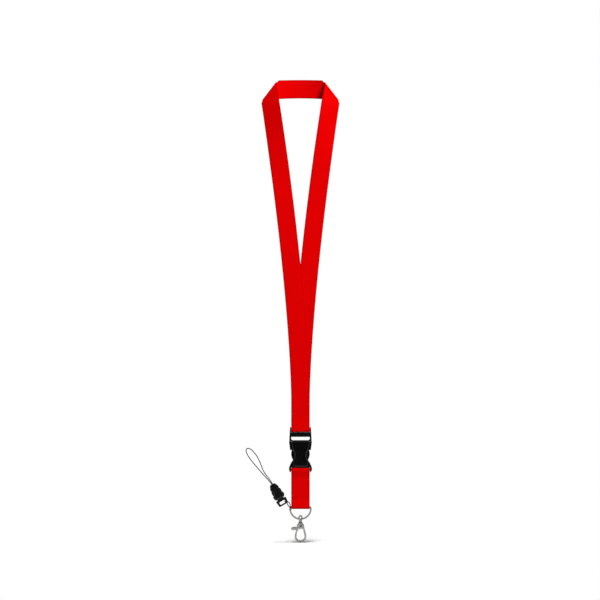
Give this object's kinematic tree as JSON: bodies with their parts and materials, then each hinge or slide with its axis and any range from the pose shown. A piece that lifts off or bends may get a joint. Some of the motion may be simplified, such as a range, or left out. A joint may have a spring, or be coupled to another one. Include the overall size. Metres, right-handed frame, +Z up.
{
  "type": "neck lanyard",
  "caption": "Webbing neck lanyard with mitred shoulder folds, side release buckle, D-ring with swivel trigger hook, and a cord phone tether with a small release buckle.",
  "frame": {"origin": "middle of the neck strip's lower edge, where the lanyard hangs on the neck", "axes": "+Z up along the hanging lanyard, +X to the right seen from the front, -Y to the front"},
  "size_m": [0.102, 0.0109, 0.5006],
  "materials": {
    "red_webbing": "woven polyester webbing, satin",
    "red_thread": "polyester sewing thread",
    "black_acetal": "moulded, semi-gloss",
    "nickel_plate": "bright nickel plate on zinc and steel",
    "black_cord": "braided polyester cord"
  },
  "bodies": {
    "neck": {"neck_strap": "red_webbing", "neck_seam_thread": "red_thread"},
    "plug": {"plug_frame": "black_acetal"},
    "left_arm": {"left_release_arm": "black_acetal"},
    "right_arm": {"right_release_arm": "black_acetal"},
    "socket": {"socket_body": "black_acetal"},
    "strap": {"short_strap": "red_webbing", "short_strap_thread": "red_thread"},
    "ring": {"d_ring": "nickel_plate", "ring_hitch": "black_cord"},
    "swivel": {"swivel_eye": "nickel_plate"},
    "hook": {"hook_body": "nickel_plate", "gate_pin": "nickel_plate", "gate_spring": "nickel_plate"},
    "gate": {"hook_gate": "nickel_plate"},
    "link": {"link_knot": "black_cord", "link_cord": "black_cord"},
    "tether": {"small_plug_frame": "black_acetal"},
    "tether_left_arm": {"small_left_arm": "black_acetal"},
    "tether_right_arm": {"small_right_arm": "black_acetal"},
    "tether_socket": {"small_socket": "black_acetal", "loop_stop_knot": "black_cord", "phone_loop_cord": "black_cord"}
  },
  "joints": [
    {"name": "buckle_swing", "type": "hinge", "parent": "neck", "child": "plug", "pos_m": [0, 0, -0.3589], "axis": [1, 0, 0], "range_deg": [-60, 60]},
    {"name": "left_press", "type": "hinge", "parent": "plug", "child": "left_arm", "pos_m": [-0.0069, 0, -0.3725], "axis": [0, -1, 0], "range_deg": [0, 9], "stiffness_Nm_per_rad": 0.3},
    {"name": "right_press", "type": "hinge", "parent": "plug", "child": "right_arm", "pos_m": [0.0069, 0, -0.3725], "axis": [0, 1, 0], "range_deg": [0, 9], "stiffness_Nm_per_rad": 0.3},
    {"name": "buckle_release", "type": "slide", "parent": "plug", "child": "socket", "axis": [0, 0, -1], "range_m": [0, 0.024], "deforming": ["left_release_arm", "right_release_arm"]},
    {"name": "strap_swing", "type": "hinge", "parent": "socket", "child": "strap", "pos_m": [0, 0, -0.4016], "axis": [1, 0, 0], "range_deg": [-60, 60]},
    {"name": "ring_swing", "type": "hinge", "parent": "strap", "child": "ring", "pos_m": [0, 0, -0.442], "axis": [1, 0, 0], "range_deg": [-60, 60]},
    {"name": "hook_swing", "type": "hinge", "parent": "ring", "child": "swivel", "pos_m": [0, 0, -0.4552], "axis": [1, 0, 0], "range_deg": [-60, 60]},
    {"name": "hook_swivel", "type": "hinge", "parent": "swivel", "child": "hook", "pos_m": [0, 0, -0.46], "axis": [0, 0, 1], "continuous": true},
    {"name": "gate_open", "type": "hinge", "parent": "hook", "child": "gate", "pos_m": [-0.0015, 0, -0.46455], "axis": [0, -1, 0], "range_deg": [0, 25], "stiffness_Nm_per_rad": 0.03, "springref_deg": -17.19, "deforming": ["gate_spring"]},
    {"name": "link_swing", "type": "hinge", "parent": "ring", "child": "link", "pos_m": [-0.01101, 0, -0.44316], "axis": [0, -1, 0], "range_deg": [-10, 80]},
    {"name": "tether_swing", "type": "hinge", "parent": "link", "child": "tether", "pos_m": [-0.01676, 0, -0.4362], "axis": [0, -1, 0], "range_deg": [-20, 30]},
    {"name": "tether_left_press", "type": "hinge", "parent": "tether", "child": "tether_left_arm", "pos_m": [-0.02567, 0, -0.43389], "axis": [0, 1, 0], "range_deg": [0, 9], "stiffness_Nm_per_rad": 0.1},
    {"name": "tether_right_press", "type": "hinge", "parent": "tether", "child": "tether_right_arm", "pos_m": [-0.01898, 0, -0.43003], "axis": [0, -1, 0], "range_deg": [0, 9], "stiffness_Nm_per_rad": 0.1},
    {"name": "tether_release", "type": "slide", "parent": "tether", "child": "tether_socket", "axis": [-0.5, 0, 0.866], "range_m": [0, 0.0135], "deforming": ["small_left_arm", "small_right_arm"]}
  ]
}
